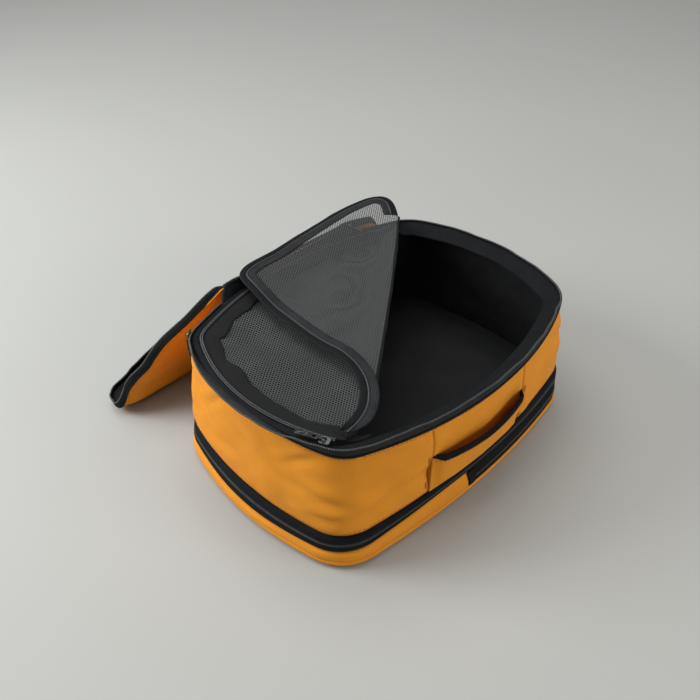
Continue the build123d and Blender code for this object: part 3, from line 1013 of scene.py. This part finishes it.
def opened_lid(points):
    """Where points of the closed lid lie when it hangs open and bends at the ground."""
    fold_y = PIVOT[1] - FOLD_RUN
    share = ease(fold_y - points[..., 1], -BEND_REACH, BEND_REACH)
    way = BEND_END - BEND_START
    for _ in range(6):
        moved = turned(turned(points, fold_y, PIVOT[2], LID_BEND * share), PIVOT[1], PIVOT[2], -LID_OPEN)
        share = ease((moved - BEND_START) @ way / (way @ way), 0, 1)
    return moved


def hang_lid(piece, slot, *nodes):
    """Bakes a lid piece's transform into its mesh and hides the CAD nodes it stands for; it is hung on no
    body, and slot is not used.
    """
    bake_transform(piece)
    if nodes:
        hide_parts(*nodes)


LID_TOP = PIVOT[2] + 2.0
LID_INSET = 3.0  # how far the closed lid's edge lies inside the rim's outline
LID_CURL = 3.4  # how far its edge curls down
LEFT_PULL = 24.5  # how far its left end is drawn out to the left
FRONT_DIP, LEFT_DIP = 9, 9  # how far it dips near its front left and at its left end
LIP_LEFT, LIP_RIGHT = back_place(-HINGE_HALF + 24), back_place(HINGE_HALF - 24) + 8


def lid_border():
    """The closed lid's edge: round the body's outline, then straight along the hinge."""
    places = stations(back_place(-HINGE_HALF), back_place(HINGE_HALF) + 8, 4)
    curve = skin(places, RIM_TOP, -LID_INSET)[0]
    count = int(2 * HINGE_HALF / 4)
    x = np.linspace(HINGE_HALF, -HINGE_HALF, count)[1:-1]
    hinge = np.column_stack([x, np.full(count - 2, PIVOT[1] - 0.4), np.full(count - 2, RIM_TOP)])
    line = np.vstack([curve, hinge])
    for _ in range(4):
        line = (np.roll(line, 1, axis=0) + 2 * line + np.roll(line, -1, axis=0)) / 4
    return line


def lid_drawn(points):
    """The closed lid's cloth, shortened by rumples toward its front left corner, and drawn out of shape and
    down along its left end."""
    x, y, z = np.moveaxis(points, -1, 0)
    from_hinge = PIVOT[1] - y
    rumple = (4 + 30 * ease(-x, -60, 80)) * ease(from_hinge, 190, 262)
    corner = 24 * ease(-x, 92, 150) * (1 - ease(from_hinge, 40, 120))
    pulled = x - LEFT_PULL * ease(-x, 90, 188) * bell(from_hinge, 186, 66)
    lifted = ease(-x, 40, 110) * (1 - ease(-x, 140, 200))
    curled = ease(-pulled, 160, 214) * bell(from_hinge, 138, 46)
    return np.stack([pulled, y + rumple - corner - 3 * curled,
                     z - FRONT_DIP * lifted * bell(from_hinge, 170, 48) - LEFT_DIP * curled], axis=-1)


def lid_sag(at):
    """How far the closed lid's cloth lies under its plane: never above it, so that it never sinks into
    the ground when the lid is open."""
    far = ease(PIVOT[1] - at[..., 1], 0, 40)
    wave = 1.9 + 1.6 * swells(at * np.array([1.0, 0.55, 0]), 62, 71) + 0.7 * swells(at, 22, 72)
    return np.maximum(wave, 0.2) * far


def lid_heights(drop):
    def height(flat, reach):
        at = with_height(flat)
        curl = LID_CURL * ease(reach, 0.93, 1.0) * ease(PIVOT[1] - flat[:, 1], 4, 30)
        return LID_TOP - drop - lid_sag(at) - curl
    return height


def make_lid():
    edge = lid_border()
    for name, drop, material, slot, nodes in (
            ("lid_shell_cloth", 0.0, ORANGE, "orange_fabric", ("lid_panel_upper", "lid_panel_lower")),
            ("lid_lining_cloth", 1.5, LINING, "lining", ("lid_lining_upper", "lid_lining_lower"))):
        piece = disc_piece(name, edge, lid_heights(drop), 46, material, 1.0, -1)
        points = lid_drawn(np.array([v.co for v in piece.data.vertices]) / MM)
        piece.data.vertices.foreach_set("co", (opened_lid(points) * MM).astype(np.float32).ravel())
        hang_lid(piece, slot, *nodes)
    make_lid_lip()


def lid_edge_point(places, out, below):
    """Points at the closed lid's edge, out from it and below it."""
    points = skin(places, RIM_TOP, out - LID_INSET)[0]
    points[:, 2] = LID_TOP - LID_CURL - lid_sag(points * np.array([1, 1, 0])) - below
    return lid_drawn(points)


def lid_lip(places, f):
    """Across the lid's zip tape: f from its seam to its free edge. It narrows to nothing at the hinge."""
    reach = around(places)
    long = 7.5 * between(reach, reach[0], reach[-1], 16, 4)
    lean = np.radians(14 + 17 * flutter(places, 34, 81))
    curl = 1.0 * math.sin(math.pi * f) + 0.9 * f * flutter(places, 14, 82)
    return lid_edge_point(places, 0.8 + np.sin(lean) * long * f + curl, np.cos(lean) * long * f)


def make_lid_lip():
    places = stations(LIP_LEFT, LIP_RIGHT, 2.5)
    shares = np.linspace(-0.05, 1, 8)
    points = np.stack([opened_lid(lid_lip(places, f)) for f in shares])
    cloth = cloth_grid(around(places), shares[:, None] * 9.5)
    tape = grid_piece("lid_tape_on_lid", points, cloth, TAPE, 0.9, 0)
    hang_lid(tape, "black_tape", "lid_zip_tape_upper", "lid_zip_tape_lower")
    free = opened_lid(resampled(lid_lip(places, 1.05), TOOTH / 5))
    hang_lid(coil_piece("lid_coil_on_lid", free, LID_COIL), "zip_coil", "lid_zip_coil_upper",
             "lid_zip_coil_lower")
    seam = opened_lid(lid_edge_point(places, 0.9, 0.2))
    hang_lid(tube_piece("lid_edge_piping", seam, PIPING, TAPE), "black_tape")


# ---- grab handle ---------------------------------------------------------------------------------------
HANDLE_BASE = WALL_BOTTOM + 1.0
HANDLE_LONG = HANDLE_RIGHT - HANDLE_LEFT
BAND_ENDS, BAND_MIDDLE = 96.5, 91.0  # heights of its upper edge
WEBBING_TALL = 8.0
HANDLE_X = np.linspace(HANDLE_LEFT, HANDLE_RIGHT, 60)
HANDLE_PLACES = np.array([front_place(x) for x in HANDLE_X])


def handle_arch(u):
    """1 in the middle of the handle and 0 at its sewn ends."""
    return 1 - (2 * u - 1) ** 2


def handle_gap(u, f):
    """How far the handle stands off the wall, u along it and f up it."""
    ends = ease(u, -0.01, 0.085) * (1 - ease(u, 0.92, 1.01))
    belly = 4.2 + 5.2 * handle_arch(u) ** 0.8
    pinch = 1 - 0.75 * bell(u, 0.0, 0.05) * bell(f, 0.4, 0.35)
    return 1.0 + ends * pinch * belly * profile(f, (0, 0), (0.12, 0.34), (0.5, 0.72), (1, 1.0))


def handle_points(u, f, lift=0.0, off=0.0):
    """Points on the handle, u along it and f up it."""
    x = HANDLE_LEFT + HANDLE_LONG * u
    top = BAND_ENDS + (BAND_MIDDLE - BAND_ENDS) * handle_arch(u)
    z = HANDLE_BASE + (top - HANDLE_BASE) * f + lift
    places = np.interp(x, HANDLE_X, HANDLE_PLACES)
    return skin(places, z, 1.4 + handle_gap(u, f) + off)[0]


def make_handle():
    u, f = np.meshgrid(np.linspace(0, 1, 70), np.linspace(0, 1, 22))
    at = handle_points(u, f)
    slack = (0.9 * swells(at, 32, 91) + 0.4 * swells(at, 13, 92)) * ease(f, 0, 0.2) * handle_arch(u) ** 0.5
    points = handle_points(u, f, 0, slack)
    cloth = cloth_grid(u * HANDLE_LONG, points[:, :, 2])
    band = grid_piece("handle_band_cloth", points, cloth, ORANGE, 1.4, -1)
    attach(band, "handle", "orange_fabric", "handle_band")

    along = np.linspace(0.004, 0.996, 420)
    ribs = 0.28 * np.cos(2 * math.pi * along * HANDLE_LONG / RIB)
    full = ease(along, 0.0, 0.075) * (1 - ease(along, 0.93, 1.0))
    tall = WEBBING_TALL * (0.35 + 0.65 * full)
    rows = []
    for share, proud, ribbed in ((0.0, 0.2, 0), (0.06, 0.8, 1), (0.5, 1.05, 1), (0.94, 0.8, 1),
                                 (1.0, 0.1, 0), (1.0, -1.7, 0), (0.5, -1.9, 0), (0.0, -1.7, 0)):
        lift = WEBBING_TALL / 2 + tall * (share - 0.5) - 1.2
        off = proud + ribs * ribbed - 1.4 * (1 - full)
        rows.append(handle_points(along, np.ones_like(along), lift, off))
    cloth = cloth_grid(along * HANDLE_LONG, np.arange(8)[:, None] * 2.4)
    webbing = grid_piece("handle_webbing_strip", np.stack(rows), cloth, WEBBING, loop_rows=True)
    attach(webbing, "handle", "webbing", "handle_webbing")


def make_bartacks():
    """Dense zigzag stitching at the handle's ends."""
    points, faces = [], []
    up = np.array([0, 0, 0.26])
    for x, shift in ((HANDLE_LEFT, -3.4), (HANDLE_RIGHT, 3.4)):
        middle = around(front_place(x + shift))
        for foot in (WALL_BOTTOM + 8, BAND_ENDS - 2):
            for k in range(14):
                reach = 1.7 if k % 2 else 1.5
                ends = place_at(np.array([middle - reach, middle + reach]))
                z = foot + k * 0.55 + np.array([0, 0.5])
                line, out = skin(ends, z, wall_out(ends, z) + 0.25)
                add_block(points, faces, [[p - up, p + n * 0.4, p + up, p - n * 0.3]
                                          for p, n in zip(line, out)])
    attach(make_mesh("handle_bartack_stitches", np.array(points), faces, THREAD), "upper", "thread",
           "handle_bartacks")


# ---- mesh cover ----------------------------------------------------------------------------------------
FLAP_LOW, FLAP_RISE = 151.8, 6.6  # height of the folded half, and how much it rises to pass over the hinge
# the loose half as it lies folded back: its zip edge from the front rim to the back left, its end edge
# from there to the right, and the bend from the front rim to the back right
ZIP_EDGE = [(-148, -94), (-134, -92), (-117, -85), (-100, -70), (-88, -48), (-83, -20), (-85, 8), (-84, 46),
            (-79, 100), (-73, 138)]
FAR_EDGE = [(-64, 151), (-46, 157), (-16, 158), (32, 165), (104, 174), (138, 173), (158, 166), (166, 150),
            (163, 136), (151, 119)]
BEND = [(-150, -101), (-138, -101.5), (-126, -97.5), (-114, -95.5), (-103, -87.5), (-91, -77), (-68, -60),
        (-22, -24), (47, 31), (111, 84), (151, 118)]


def raised(flat, lift):
    """Points of the folded half: low over the zipped half, higher where it passes over the hinge."""
    at = with_height(flat)
    x, y = flat[..., 0], flat[..., 1]
    rise = FLAP_RISE * ease(y - 0.12 * x, 84, 138) - 3.0 * ease(y, 154, 178)
    height = FLAP_LOW + rise + 0.8 * swells(at, 60, 101) + 0.35 * swells(at, 20, 102)
    return with_height(flat, height + lift)


def flat_normal(line):
    """Direction to the left of a flat line."""
    tangent = unit(np.gradient(line, axis=0))
    return np.column_stack([-tangent[:, 1], tangent[:, 0]])


def inward(line, distance):
    """A flat line moved to its right, its corners kept round."""
    moved = line - flat_normal(line) * distance
    for _ in range(10):
        moved[1:-1] = (moved[:-2] + 2 * moved[1:-1] + moved[2:]) / 4
    return moved


def make_flap():
    """The loose half of the mesh cover, folded back over the zipped half."""
    outer = evenly(rounded_line(ZIP_EDGE + FAR_EDGE), 240)
    bend = evenly(rounded_line(BEND), 240)
    f = np.linspace(0, 1, 60)[:, None, None]
    flat = bend * (1 - f) + outer * f
    net = grid_piece("mesh_flap_net", raised(flat, 0.0)[:, 9:], flat[:, 9:], NET, flip=True)
    attach(net, "mesh_flap", "mesh", "mesh_cover_flap")

    along = arc_lengths(outer)
    taper = ease(along, -14, 18)

    def band(name, start, end, lift, material, thickness, *nodes):
        """A strip along the outer edge between two distances in from it, narrow at the front end."""
        rows = []
        for g in np.linspace(0, 1, 7):
            line = inward(outer, (start + (end - start) * g) * taper[:, None])
            rows.append(raised(line, lift + 0.5 * math.sin(math.pi * g) - 2.5 * (1 - taper)))
        cloth = cloth_grid(along, np.linspace(start, end, 7)[:, None])
        piece = grid_piece(name, np.stack(rows), cloth, material, thickness, 0)
        attach(piece, "mesh_flap", "black_tape", *nodes)

    band("mesh_flap_tape", -0.5, 7.0, 0.9, TAPE, TAPE_THICK, "mesh_border_flap")
    # the flap's inner border takes the grey tape with its painted highlight
    band("mesh_flap_border", 8.0, 17.0, 0.7, LIT_GREY_TAPE, 0.9)
    coil_path = raised(inward(outer, 7.6), 1.4)
    attach(coil_piece("mesh_flap_coil", coil_path, FLAP_COIL), "mesh_flap", "zip_coil",
           "mesh_zip_coil_flap")
    edge_path = raised(inward(outer, 0.2), 0.7)
    attach(tube_piece("mesh_flap_piping", edge_path, PIPING, BORDER), "mesh_flap", "black_tape")


def make_fixed_mesh():
    """The zipped half of the mesh cover, from the rim to the bend."""
    start, end = back_place(ZIPPED_BACK), front_place(ZIPPED_FRONT) + 8
    rim_places = stations(start, end, 3)
    count = len(rim_places)
    rim, rim_out = skin(rim_places, RIM_TOP, -11.5)
    rim, rim_out = rim[:, :2], rim_out[:, :2]
    bend = evenly(rounded_line(BEND)[::-1], count)
    f = np.linspace(0, 1, 50)[:, None]
    flat = rim * (1 - f[..., None]) + bend * f[..., None]
    at = with_height(flat)
    sag = np.sin(math.pi * f) ** 0.8 * (7 + 2.5 * swells(at, 60, 111))
    ripple = 0.9 * swells(at, 22, 112) * np.sin(math.pi * f)
    net = grid_piece("mesh_fixed_net", with_height(flat, RIM_TOP + 0.4 - sag + ripple), flat + 0.6, NET)
    attach(net, "upper", "mesh", "mesh_cover_fixed")

    wide = 15 + 3.5 * flutter(rim_places, 42, 113) + 1.6 * flutter(rim_places, 13, 114)
    wide = wide * ease(np.arange(count), 0, 12) * (1 - ease(np.arange(count), count - 12, count - 1)) + 2
    shares = np.linspace(0, 1, 9)
    rows = []
    for g in shares:
        z = RIM_TOP + 1.3 + 0.5 * math.sin(math.pi * g) - 3.4 * g + 0.6 * g * flutter(rim_places, 20, 115)
        rows.append(with_height(rim - rim_out * (wide * g)[:, None], z))
    cloth = cloth_grid(around(rim_places), shares[:, None] * wide)
    border = grid_piece("mesh_fixed_border", np.stack(rows), cloth, BORDER, 0.35, 0)
    attach(border, "upper", "black_tape", "mesh_border_fixed")
    coil_end = min(end, place_at(around(MESH_SLIDER_AT) + 9))
    for name, out, z, node in (("mesh_coil_on_cover", -11.2, RIM_TOP + 2.2, "mesh_zip_coil_fixed"),
                               ("mesh_coil_on_rim", -9.3, RIM_TOP + 2.0, "mesh_zip_coil_body")):
        path = rim_line(stations(start, coil_end, 2.5), out, z)
        attach(coil_piece(name, path, RIM_MESH_COIL), "upper", "zip_coil", node)


def make_bend():
    """The rolled cloth where the cover turns back over itself."""
    bend = resampled(rounded_line(BEND), 2.5)
    side = -flat_normal(bend)
    low, high = RIM_TOP + 0.4, raised(bend, 0.0)[:, 2]
    puff = 2.4 + 0.8 * swells(with_height(bend), 24, 121)
    rows, cloth_rows = [], []
    for turn in np.linspace(-90, 90, 13):
        a = math.radians(turn)
        z = (low + high) / 2 + (high - low) / 2 * math.sin(a)
        rows.append(with_height(bend + side * (puff * math.cos(a))[:, None], z))
        cloth_rows.append(bend + side * turn * 0.06)
    piece = grid_piece("mesh_bend_net", np.stack(rows), np.stack(cloth_rows), BORDER, 0.5, 0)
    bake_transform(piece)


# ---- sewing --------------------------------------------------------------------------------------------
def make_stitching():
    ring = stations(0, 8, 3)
    for name, z, lift in (("wall_foot_stitches", zip_high(ring) + 4.5, 0.2),
                          ("wall_head_stitches", seam_z(ring) - 5.0, 0.25)):
        points, out = skin(ring, z, wall_out(ring, z) + lift)
        attach(stitch_piece(name, points, out), "upper", "thread")
    inner = handle_points(np.linspace(0.01, 0.99, 120), np.full(120, 0.94), 0.0, 0.35)
    attach(stitch_piece("handle_stitches", inner, np.array([0.0, -1.0, 0.1])), "handle", "thread")


# ---- sliders and pulls ---------------------------------------------------------------------------------
def finish_sliders():
    """The sliders and pulls keep their CAD shapes and take their finishes."""
    for name in ("mesh", "lid", "expansion", "lower"):
        for node, material, slot in ((f"{name}_slider", BRASS if name == "lid" else METAL, "slider_metal"),
                                     (f"{name}_slider_pull", PULL, "zip_pull")):
            piece = frame["nodes"][node]
            piece.data.materials.clear()
            piece.data.materials.append(material)


# ---- stage, light and camera ---------------------------------------------------------------------------
CAMERA_PLACE = Vector((-457.4, -434.9, 620.4)) * MM
CAMERA_AIM = Vector((8.9, 57.8, 60.0)) * MM
CAMERA_ROLL = math.radians(-1.24)
CAMERA_LENS = 39.2
LAMPS = (  # name, place, aim, size, power, tint
    ("key", (-1.12, 1.15, 0.95), (0.0, 0.05, 0.05), 1.0, 29.5, (1.0, 1.0, 0.99)),
    ("top", (0.0, 0.75, 2.5), (0.1, 0.5, 0.0), 2.4, 40.0, (1.0, 1.0, 1.0)),
    ("front", (0.8, -2.0, 0.75), (0.05, 0.0, 0.05), 1.2, 21.0, (1.0, 0.95, 0.88)),
)
FLOOR_RADIUS, BOWL_RADIUS, BOWL_TOP = 3000, 1200, 3200.0


def make_camera():
    camera = bpy.data.objects.new("camera", bpy.data.cameras.new("camera"))
    bpy.context.scene.collection.objects.link(camera)
    camera.location = CAMERA_PLACE
    turn = (CAMERA_AIM - CAMERA_PLACE).to_track_quat("-Z", "Y").to_matrix()
    camera.rotation_euler = (turn @ Matrix.Rotation(CAMERA_ROLL, 3, "Z")).to_euler()
    camera.data.lens = CAMERA_LENS
    camera.data.clip_start = 0.05
    bpy.context.scene.camera = camera


def area_light(name, place, aim, size, power, tint):
    data = bpy.data.lights.new(name, "AREA")
    data.shape = "DISK"
    data.size, data.energy, data.color = size, power, tint
    light = bpy.data.objects.new(name, data)
    light.location = Vector(place)
    light.rotation_euler = (Vector(aim) - Vector(place)).to_track_quat("-Z", "Y").to_euler()
    bpy.context.scene.collection.objects.link(light)


def studio_bowl(material):
    """A floor whose far edge curves up all round, so that no view shows a horizon."""
    radii = [0, 400, 900, 1600, 2400, FLOOR_RADIUS]
    heights = [0.0] * len(radii)
    for turn in range(10, 91, 10):
        a = math.radians(turn)
        radii.append(FLOOR_RADIUS + BOWL_RADIUS * math.sin(a))
        heights.append(BOWL_RADIUS * (1 - math.cos(a)))
    radii.append(radii[-1])
    heights.append(BOWL_TOP)
    turns = np.arange(96) / 96 * 2 * math.pi
    rings = np.array([[(r * math.cos(a), r * math.sin(a), z) for a in turns]
                      for r, z in zip(radii[1:], heights[1:])])
    points = np.vstack([[(0.0, 0.0, 0.0)], rings.reshape(-1, 3)])
    return make_mesh("studio_floor", points, fan_and_rings(len(rings), 96), material)


def make_stage():
    s = Shader("studio_paper", 0.85, 0.0, 0.15)
    mottle = s.noise(1.5, 2)
    s.set("Base Color", s.blend_colour(mottle, colour(163, 165, 163), colour(169, 170, 168)))
    studio_bowl(s.material)
    world = bpy.data.worlds.new("studio")
    world.use_nodes = True
    background = world.node_tree.nodes["Background"]
    background.inputs[0].default_value = (1.0, 0.98, 0.95, 1.0)
    background.inputs[1].default_value = 0.56
    bpy.context.scene.world = world
    for lamp in LAMPS:
        area_light(*lamp)
    bpy.context.scene.view_settings.view_transform = "Standard"


make_camera()
make_walls()
make_inside()
make_floors()
make_base()
make_gusset()
make_rim()
make_rim_ring()
make_hinge()
make_lid()
make_handle()
make_bartacks()
make_fixed_mesh()
make_bend()
make_flap()
make_stitching()
finish_sliders()
make_stage()
